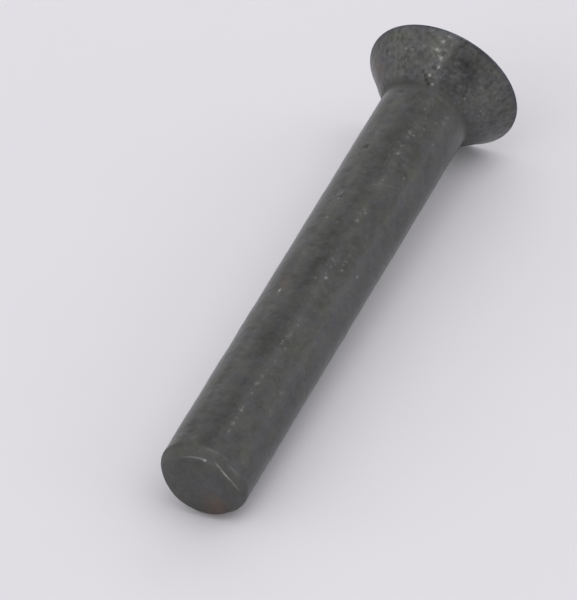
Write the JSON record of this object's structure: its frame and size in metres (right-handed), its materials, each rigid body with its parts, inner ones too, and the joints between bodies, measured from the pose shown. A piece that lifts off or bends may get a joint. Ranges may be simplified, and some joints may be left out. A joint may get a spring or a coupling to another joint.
{
  "type": "countersunk rivet",
  "caption": "Solid steel rivet with a flat 75 degree countersunk head and a plain straight shank; the sheared tail is tapered and rolled over on one side.",
  "frame": {"origin": "centre of the head's flat face, on which the rivet stands", "axes": "+Z along the shank, from the flat of the head to the tail; +X towards the side of the tail where the sheared end rolled over; +Y completes the frame. The rest of the rivet is round about Z"},
  "size_m": [0.014, 0.014, 0.05],
  "materials": {
    "dark_steel": "bare carbon steel with a dull, dark annealing skin, worn bright on the tail's sheared edge"
  },
  "bodies": {
    "root": {"rivet": "dark_steel"}
  },
  "joints": []
}
